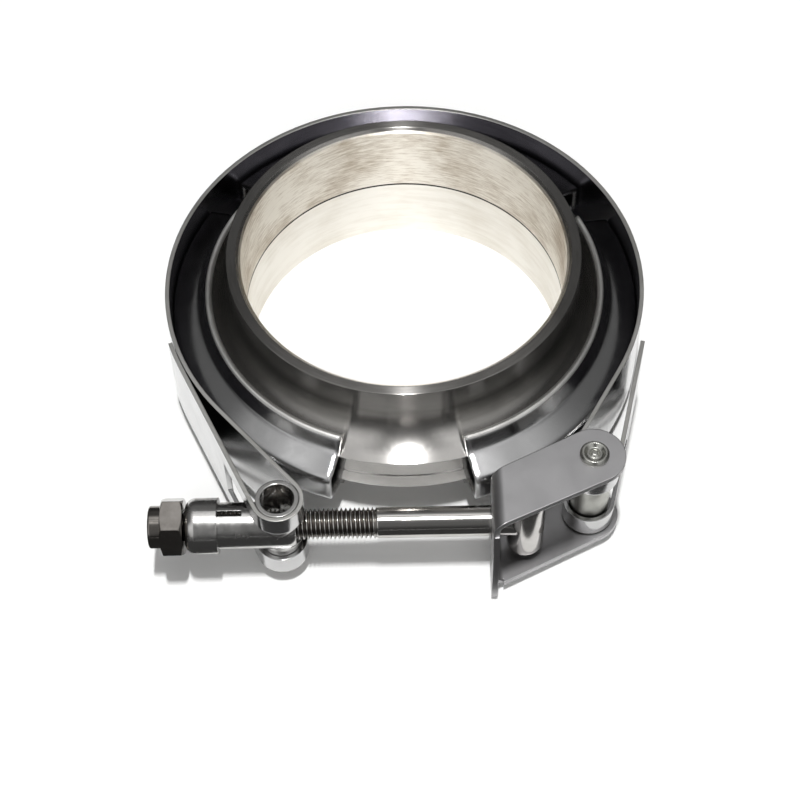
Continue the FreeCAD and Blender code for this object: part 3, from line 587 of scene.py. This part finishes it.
def close_poles(mesh: bpy.types.Mesh) -> None:
    """Merge points that coincide, such as a row that shrinks to a pole, and drop empty faces.

    Args:
        mesh: The mesh, which is changed in place; a closed one also gets its faces turned outwards.
    """
    work = bmesh.new()
    work.from_mesh(mesh)
    bmesh.ops.remove_doubles(work, verts=work.verts, dist=MERGE_DISTANCE)
    bmesh.ops.dissolve_degenerate(work, edges=work.edges, dist=SHORTEST_EDGE)
    if all(edge.is_manifold for edge in work.edges):
        bmesh.ops.recalc_face_normals(work, faces=work.faces)
    work.to_mesh(mesh)
    work.free()


def join_pieces(name: str, pieces: list[bpy.types.Object]) -> bpy.types.Object:
    """Join meshes that share a material into one object.

    Args:
        name: The joined object's name.
        pieces: The objects, whose places are in their meshes.

    Returns:
        The joined object.
    """
    work = bmesh.new()
    for piece in pieces:
        work.from_mesh(piece.data)
    mesh = bpy.data.meshes.new(name)
    work.to_mesh(mesh)
    work.free()
    mesh.materials.append(pieces[0].data.materials[0])
    joined = add_object(name, mesh)
    for piece in pieces:
        bpy.data.objects.remove(piece)
    return joined


def add_object(name: str, data: bpy.types.ID) -> bpy.types.Object:
    """Link a mesh, a lamp or a camera into the scene.

    Args:
        name: The object's name.
        data: Its mesh, lamp or camera.

    Returns:
        The new object, at the origin.
    """
    made = bpy.data.objects.new(name, data)
    bpy.context.scene.collection.objects.link(made)
    return made


# ---------------------------------------------------------------- sub-assemblies

@dataclass
class SubAssembly:
    """A group of nodes, each with its finish.

    Attributes:
        finishes: The finish of each node, by the node's name.
    """

    finishes: dict[str, Steel]

    def dress(self) -> None:
        """Give each node its finish, in every slot that the node has."""
        for node, finish in self.finishes.items():
            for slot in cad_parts[node].material_slots:
                slot.material = material_of(finish)
            log.info("%s: %s", node, finish.name)


@dataclass
class FlangePair(SubAssembly):
    """The two weld flanges that the clamp draws together."""

    finishes: dict[str, Steel] = field(default_factory=lambda: {
        "upper_flange": UPPER_FLANGE_STEEL, "lower_flange": LOWER_FLANGE_STEEL})


@dataclass
class Band(SubAssembly):
    """The three retainer segments and the strap round them."""

    finishes: dict[str, Steel] = field(default_factory=lambda: {
        "v_retainer_left": RETAINER_STEEL, "v_retainer_right": RETAINER_STEEL,
        "v_retainer_rear": RETAINER_STEEL, "outer_strap": STRAP_STEEL})


@dataclass
class Trunnion(SubAssembly):
    """The pivot sleeve with its crimped collar."""

    finishes: dict[str, Steel] = field(default_factory=lambda: {
        "trunnion_sleeve": TRUNNION_STEEL, "sleeve_collar": TRUNNION_STEEL})


@dataclass
class LockNut(SubAssembly):
    """The hexagon nut with its locking insert."""

    finishes: dict[str, Steel] = field(default_factory=lambda: {
        "lock_nut": NUT_STEEL, "nut_insert": INSERT_STEEL})


@dataclass
class Latch(SubAssembly):
    """The folded latch, its rivet and the bush between its plates."""

    finishes: dict[str, Steel] = field(default_factory=lambda: {
        "latch": LATCH_STEEL, "latch_pin": RIVET_STEEL, "pin_bush": BUSH_STEEL})


@dataclass
class TBolt:
    """T-bolt: a right-handed 1/4-28 thread, a smooth shank and a barrel head across it.

    Attributes:
        finish: The bolt's steel.
        shank_radius: Outer radius of the thread and of the shank, in mm as all that follow.
        pitch: Distance from one thread crest to the next.
        thread_depth: Depth of the thread's roots.
        thread_end: Where the thread ends, along x.
        run_out_turns: Turns over which the thread fades into the shank.
        crest_share: Flat crest, as a share of the pitch.
        root_share: Flat root, as a share of the pitch.
        chamfer: Size of the chamfer at the cut end.
        head_edge: Radius of the head's rims.
        rows_per_pitch: Rows of points along one pitch.
        shank_rows: Rows of points along the smooth shank.
        columns: Points round the shank.
        edge_rows: Rows of points over one of the head's rims.
        side_rows: Rows of points along the head's side.
        head_columns: Points round the head.
    """

    finish: Steel = BOLT_STEEL
    shank_radius: float = 3.175
    pitch: float = 0.907
    thread_depth: float = 0.556
    thread_end: float = -6.0
    run_out_turns: float = 1.5
    crest_share: float = 0.20
    root_share: float = 0.26
    chamfer: float = 0.6
    head_edge: float = 0.7
    rows_per_pitch: int = 14
    shank_rows: int = 23
    columns: int = 56
    edge_rows: int = 9
    side_rows: int = 8
    head_columns: int = 72

    def build(self) -> bpy.types.Object:
        """Make the bolt in the place of its node.

        Returns:
            The finished piece, which rides the bolt's body.
        """
        low, high = BOLT_BOX_MM
        centre = (low + high) / 2
        head_radius = (high[1] - low[1]) / 2
        head_x = high[0] - head_radius
        head_half = (high[2] - low[2]) / 2
        material = material_of(self.finish)
        shank = self.shank(low[0], head_x, centre)
        head = self.head(head_x, head_radius, head_half, centre)
        bolt = join_pieces("t_bolt_threaded", [
            grid_piece("t_bolt_shank", shank * MM, True, material),
            grid_piece("t_bolt_head", head * MM, True, material)])
        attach(bolt, "bolt")
        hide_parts("t_bolt")
        log.info("%s: %s", bolt.name, self.finish.name)
        return bolt

    def shank(self, start: float, end: float, centre: np.ndarray) -> np.ndarray:
        """Points of the shank along x, with the thread cut into it.

        At a distance s from the cut end and an angle v the radius is R - d g(s/p - v/2 pi) f(s).
        g is a trapezoid of one pitch p that is 0 on the crest and 1 at the root, and f is the fade
        of the run-out, 3 t^2 - 2 t^3. The crest moves on by one pitch for each turn of v, which
        makes the thread right-handed. The chamfer keeps the radius under R - c + s.

        Args:
            start: x of the cut end in mm.
            end: x where the shank meets the middle of the head, in mm.
            centre: Middle of the bolt's box in mm.

        Returns:
            Points in mm, of shape (along, round, 3), with both ends closed to a pole.
        """
        length = self.thread_end - start
        along = np.concatenate([
            [0.0, 0.0], np.linspace(0.0, length, int(length / self.pitch * self.rows_per_pitch)),
            np.linspace(length, end - start, self.shank_rows + 1)[1:], [end - start]])
        turn = np.linspace(0.0, 2 * math.pi, self.columns, endpoint=False)
        s, v = along[:, None], turn[None, :]
        phase = (s / self.pitch - v / (2 * math.pi) + 0.5) % 1.0 - 0.5
        flank_share = 0.5 - (self.crest_share + self.root_share) / 2
        groove = np.clip((np.abs(phase) - self.crest_share / 2) / flank_share, 0.0, 1.0)
        fade = np.clip((length - s) / (self.run_out_turns * self.pitch), 0.0, 1.0)
        fade = fade * fade * (3.0 - 2.0 * fade)
        radius = np.minimum(self.shank_radius - self.thread_depth * groove * fade,
                            self.shank_radius - self.chamfer + s)
        radius[[0, -1]] = 0.0
        return np.stack([start + s + 0.0 * v, centre[1] + radius * np.cos(v),
                         centre[2] + radius * np.sin(v)], axis=-1)

    def head(self, x: float, radius: float, half: float, centre: np.ndarray) -> np.ndarray:
        """Points of the barrel head along z: a cylinder whose rims are rounded by quarter circles.

        With e the rim's radius and a from 0 to 90 degrees, the lower rim is (R - e + e sin a,
        -h + e - e cos a) and the upper one (R - e + e cos a, h - e + e sin a).

        Args:
            x: x of the head's axis in mm.
            radius: R, the head's radius in mm.
            half: h, half of the head's length in mm.
            centre: Middle of the bolt's box in mm.

        Returns:
            Points in mm, of shape (along, round, 3), with both ends closed to a pole.
        """
        arc = np.radians(np.linspace(0.0, 90.0, self.edge_rows))
        edge = self.head_edge
        side = np.linspace(-half + edge, half - edge, self.side_rows + 2)[1:-1]
        size = np.concatenate([[0.0], radius - edge + edge * np.sin(arc), np.full(self.side_rows, radius),
                               radius - edge + edge * np.cos(arc), [0.0]])[:, None]
        height = np.concatenate([[-half], -half + edge - edge * np.cos(arc), side,
                                 half - edge + edge * np.sin(arc), [half]])[:, None]
        v = np.linspace(0.0, 2 * math.pi, self.head_columns, endpoint=False)[None, :]
        return np.stack([x + size * np.cos(v), centre[1] + size * np.sin(v),
                         centre[2] + height + 0.0 * v], axis=-1)


# ---------------------------------------------------------------- studio

@dataclass(frozen=True)
class Camera:
    """The camera, in front of the clamp and above it. Angles are in degrees.

    Attributes:
        distance_mm: Distance from the middle of the strap.
        elevation: Height of the camera above the horizon, as the strap sees it.
        aim_elevation: How far the camera looks down.
        aim_pan: How far it looks to the side.
        roll: How far it leans.
        lens_mm: Focal length.
        sensor_mm: Width of the sensor.
        near_clip_m: Nearest distance that it sees.
        strap_middle_mm: Height of the strap's middle.
    """

    distance_mm: float = 408.244
    elevation: float = 51.588
    aim_elevation: float = 54.636
    aim_pan: float = -0.3475
    roll: float = -1.4391
    lens_mm: float = 82.745
    sensor_mm: float = 36.0
    near_clip_m: float = 0.01
    strap_middle_mm: float = 1.9

    def place(self) -> None:
        """Put the camera in its place and make it the scene's."""
        elevation, aim = math.radians(self.elevation), math.radians(self.aim_elevation)
        pan, roll = math.radians(self.aim_pan), math.radians(self.roll)
        place = Vector((0.0, -math.cos(elevation), math.sin(elevation))) * self.distance_mm
        place.z += self.strap_middle_mm
        forward = Vector((math.sin(pan) * math.cos(aim), math.cos(pan) * math.cos(aim), -math.sin(aim)))
        right = Vector((math.cos(pan), -math.sin(pan), 0.0))
        up = right.cross(forward)
        right, up = (right * math.cos(roll) + up * math.sin(roll),
                     up * math.cos(roll) - right * math.sin(roll))
        data = bpy.data.cameras.new("camera")
        data.lens, data.sensor_width, data.clip_start = self.lens_mm, self.sensor_mm, self.near_clip_m
        camera = add_object("camera", data)
        turn = Matrix((right, up, -forward)).transposed().to_4x4()
        camera.matrix_world = Matrix.Translation(place * MM) @ turn
        bpy.context.scene.camera = camera


@dataclass(frozen=True)
class Lamp:
    """One area lamp that faces the clamp.

    Attributes:
        name: The lamp's name.
        elevation: Height above the horizon in degrees, in front of the clamp.
        distance: Distance from the clamp in metres.
        width: Width in metres.
        height: Height in metres.
        power: Power in watts.
        mirrored: Polished metal shows the lamp.
    """

    name: str
    elevation: float
    distance: float
    width: float
    height: float
    power: float
    mirrored: bool = True

    def hang(self) -> None:
        """Hang the lamp in its place."""
        elevation = math.radians(self.elevation)
        place = Vector((0.0, -math.cos(elevation), math.sin(elevation))) * self.distance
        data = bpy.data.lights.new(self.name, "AREA")
        data.shape, data.size, data.size_y, data.energy = "RECTANGLE", self.width, self.height, self.power
        lamp = add_object(self.name, data)
        lamp.location = place
        lamp.visible_glossy = self.mirrored
        lamp.rotation_mode = "QUATERNION"
        lamp.rotation_quaternion = place.to_track_quat("Z", "Y")


# A compact key lamp draws crisp shadows; two broad fills lift them and aren't seen in the metal.
KEY_LAMP = Lamp("key", elevation=82.0, distance=1.2, width=0.04, height=0.14, power=11.4)
OVERHEAD_FILL = Lamp("overhead_fill", elevation=85.0, distance=1.0, width=1.10, height=0.70,
                     power=1.2, mirrored=False)
FRONT_FILL = Lamp("front_fill", elevation=42.0, distance=1.2, width=0.90, height=0.45,
                  power=3.2, mirrored=False)


@dataclass(frozen=True)
class Rise:
    """A smooth rise of brightness, from 0 at a low value to the top at a high one."""

    low: float
    high: float
    top: float = 1.0

    def over(self, tree: Tree, value: Socket) -> Socket:
        """Give the brightness at a value.

        Args:
            tree: The material's node tree.
            value: The value that the brightness follows.

        Returns:
            The brightness.
        """
        return add_node(tree, "ShaderNodeMapRange", {"interpolation_type": "SMOOTHSTEP"}, {
            "Value": value, "From Min": self.low, "From Max": self.high,
            "To Max": self.top}).outputs["Result"]


@dataclass(frozen=True)
class Surroundings:
    """What polished metal mirrors: cards all round the set, and the dark table round a white sheet.

    A card's brightness follows the direction (x, y, z) in which it is seen from the clamp. "Ahead"
    is -y, towards the front, and "aside" is |x|.

    Attributes:
        radius_m: Distance of the cards.
        columns: Grid lines of the cards all round.
        rows: Grid lines of the cards from the horizon up.
        lowest_row: Elevation of the lowest grid line in degrees.
        dark: Brightness of the darkest card.
        haze: How the walls grow paler with z.
        ceiling: How the ceiling lights up with z.
        ceiling_dimmed: How that light falls off ahead.
        fittings: How the ceiling's patches follow a noise.
        between_fittings: Brightness of the ceiling between its patches.
        fittings_scale: Scale of that noise, in patches to a metre.
        front_cards: How the bright cards at the front light up ahead.
        cards_foot: How they start above the table, with z.
        cards_gap: How they leave the middle dark, with aside.
        sheet_half_mm: Half of the white sheet's width and depth.
        sheet_height_mm: Height of the table's top.
    """

    radius_m: float = 1.6
    columns: int = 73
    rows: int = 24
    lowest_row: float = 0.5
    dark: float = 0.06
    haze: Rise = Rise(0.20, 0.60, 0.10)
    ceiling: Rise = Rise(0.80, 0.92, 0.90)
    ceiling_dimmed: Rise = Rise(0.20, 0.40, 0.95)
    fittings: Rise = Rise(0.38, 0.60, 0.70)
    between_fittings: float = 0.4
    fittings_scale: float = 3.2
    front_cards: Rise = Rise(0.05, 0.45, 0.75)
    cards_foot: Rise = Rise(0.10, 0.30)
    cards_gap: Rise = Rise(0.12, 0.30)
    sheet_half_mm: tuple[float, float] = (98.0, 70.0)
    sheet_height_mm: float = -14.0

    def build(self) -> None:
        """Put up the cards and the table, which only the metal's reflections show."""
        azimuth = np.radians(np.linspace(-180.0, 180.0, self.columns))[None, :]
        material = self.material()
        for piece in (grid_piece("studio_cards", self.cards(azimuth), False, material),
                      grid_piece("dark_table", self.table(azimuth), False, material)):
            for ray in ("camera", "diffuse", "shadow", "transmission", "volume_scatter"):
                setattr(piece, f"visible_{ray}", False)

    def cards(self, azimuth: np.ndarray) -> np.ndarray:
        """Points of the cards on a half sphere: R (sin a cos e, -cos a cos e, sin e).

        Args:
            azimuth: a, the angles of the columns in radians, of shape (1, columns).

        Returns:
            Points in metres, of shape (rows, columns, 3).
        """
        elevation = np.radians(np.linspace(self.lowest_row, 90.0, self.rows))[:, None]
        return self.radius_m * np.stack([
            np.sin(azimuth) * np.cos(elevation), -np.cos(azimuth) * np.cos(elevation),
            np.sin(elevation) + 0.0 * azimuth], axis=-1)

    def table(self, azimuth: np.ndarray) -> np.ndarray:
        """Points of the table: a flat ring from the edge of the oval sheet, (p sin a, -q cos a), outwards.

        Args:
            azimuth: a, the angles of the columns in radians, of shape (1, columns).

        Returns:
            Points in metres, of shape (2, columns, 3).
        """
        across, along = (np.array([half * MM, self.radius_m])[:, None] for half in self.sheet_half_mm)
        return np.stack([across * np.sin(azimuth), -along * np.cos(azimuth),
                         self.sheet_height_mm * MM + 0.0 * across * azimuth], axis=-1)

    def material(self) -> bpy.types.Material:
        """Make the cards' material.

        Its brightness is dark + haze(z) + ceiling(z) (1 - ceiling_dimmed(-y)) (between_fittings
        + fittings(noise)) + front_cards(-y) cards_foot(z) cards_gap(|x|).

        Returns:
            A material that shines by its place round the clamp.
        """
        material = empty_material("dark_studio_card")
        tree = material.node_tree
        place = add_node(tree, "ShaderNodeTexCoord").outputs["Object"]
        way = add_node(tree, "ShaderNodeVectorMath", {"operation": "NORMALIZE"}, {
            0: place}).outputs["Vector"]
        ways = add_node(tree, "ShaderNodeSeparateXYZ", None, {"Vector": way}).outputs
        ahead = add_node(tree, "ShaderNodeMath", {"operation": "MULTIPLY"}, {
            0: ways["Y"], 1: -1.0}).outputs["Value"]
        aside = add_node(tree, "ShaderNodeMath", {"operation": "ABSOLUTE"}, {0: ways["X"]}).outputs["Value"]
        kept = add_node(tree, "ShaderNodeMath", {"operation": "SUBTRACT"}, {
            0: 1.0, 1: self.ceiling_dimmed.over(tree, ahead)}).outputs["Value"]
        noise = add_node(tree, "ShaderNodeTexNoise", {"noise_dimensions": "3D"}, {
            "Vector": place, "Scale": self.fittings_scale, "Detail": 1.0}).outputs["Fac"]
        patches = add_node(tree, "ShaderNodeMath", {"operation": "ADD"}, {
            0: self.fittings.over(tree, noise), 1: self.between_fittings}).outputs["Value"]
        ceiling = self.chain(tree, "MULTIPLY", [self.ceiling.over(tree, ways["Z"]), kept, patches])
        front = self.chain(tree, "MULTIPLY", [
            self.front_cards.over(tree, ahead), self.cards_foot.over(tree, ways["Z"]),
            self.cards_gap.over(tree, aside)])
        total = self.chain(tree, "ADD", [self.haze.over(tree, ways["Z"]), ceiling, front, self.dark])
        glow = add_node(tree, "ShaderNodeEmission", None, {"Color": srgb("#FFFFFF"), "Strength": total})
        add_node(tree, "ShaderNodeOutputMaterial", None, {"Surface": glow.outputs["Emission"]})
        return material

    @staticmethod
    def chain(tree: Tree, operation: str, terms: list[Socket | float]) -> Socket:
        """Add up several terms, or multiply them.

        Args:
            tree: The material's node tree.
            operation: ADD or MULTIPLY.
            terms: The terms, of which the first is a socket.

        Returns:
            The sum or the product.
        """
        return functools.reduce(lambda total, term: add_node(
            tree, "ShaderNodeMath", {"operation": operation}, {0: total, 1: term}).outputs["Value"], terms)


@dataclass(frozen=True)
class Studio:
    """A white floor, the lamps, the camera, and what the metal mirrors.

    Attributes:
        floor_height_mm: Height of the floor, under the lower weld face.
        floor_half_m: Half of the floor's width.
        floor_colour: The floor's paint, as sRGB hex.
        floor_roughness: The paint's roughness; it has no gloss.
        room_level: Light of the room on the clamp.
        backdrop_level: Brightness of the room where it is seen, past the floor or in the metal.
    """

    floor_height_mm: float = -14.1
    floor_half_m: float = 3.0
    floor_colour: str = "#FCFCFB"
    floor_roughness: float = 0.9
    room_level: float = 0.14
    backdrop_level: float = 1.0

    def build(self) -> None:
        """Set up the camera, the floor, the room, the lamps and the surroundings."""
        Camera().place()
        self.floor()
        self.room()
        for lamp in (KEY_LAMP, OVERHEAD_FILL, FRONT_FILL):
            lamp.hang()
        Surroundings().build()
        bpy.context.scene.view_settings.view_transform = "Standard"

    def floor(self) -> None:
        """Lay a matte white floor: a square at one height."""
        half = self.floor_half_m
        x, y = np.meshgrid([-half, half], [-half, half])
        points = np.stack([x, y, np.full_like(x, self.floor_height_mm * MM)], axis=-1)
        material = empty_material("matte_white_floor")
        paint = add_node(material.node_tree, "ShaderNodeBsdfPrincipled", None, {
            "Base Color": srgb(self.floor_colour), "Roughness": self.floor_roughness,
            "Specular IOR Level": 0.0})
        add_node(material.node_tree, "ShaderNodeOutputMaterial", None, {"Surface": paint.outputs["BSDF"]})
        grid_piece("floor", points, False, material, smooth=False)

    def room(self) -> None:
        """Make the room: white where it is seen, and dim in the light that it gives."""
        world = bpy.data.worlds.new("room")
        world.use_nodes = True
        tree = world.node_tree
        tree.nodes.clear()
        path = add_node(tree, "ShaderNodeLightPath").outputs
        seen = add_node(tree, "ShaderNodeMath", {"operation": "MAXIMUM"}, {
            0: path["Is Camera Ray"], 1: path["Is Transmission Ray"]}).outputs["Value"]
        seen = add_node(tree, "ShaderNodeMath", {"operation": "MAXIMUM"}, {
            0: seen, 1: path["Is Glossy Ray"]}).outputs["Value"]
        light, backdrop = (add_node(tree, "ShaderNodeBackground", None, {
            "Color": srgb("#FFFFFF"), "Strength": level}).outputs["Background"]
            for level in (self.room_level, self.backdrop_level))
        mix = add_node(tree, "ShaderNodeMixShader", None, {0: seen, 1: light, 2: backdrop})
        add_node(tree, "ShaderNodeOutputWorld", None, {"Surface": mix.outputs["Shader"]})
        bpy.context.scene.world = world


def main() -> None:
    """Dress the clamp, light it and set its camera."""
    for group in (FlangePair(), Band(), Trunnion(), LockNut(), Latch()):
        group.dress()
    TBolt().build()
    Studio().build()


if __name__ == "__main__":
    logging.basicConfig(level=logging.INFO, format="%(message)s")
    main()
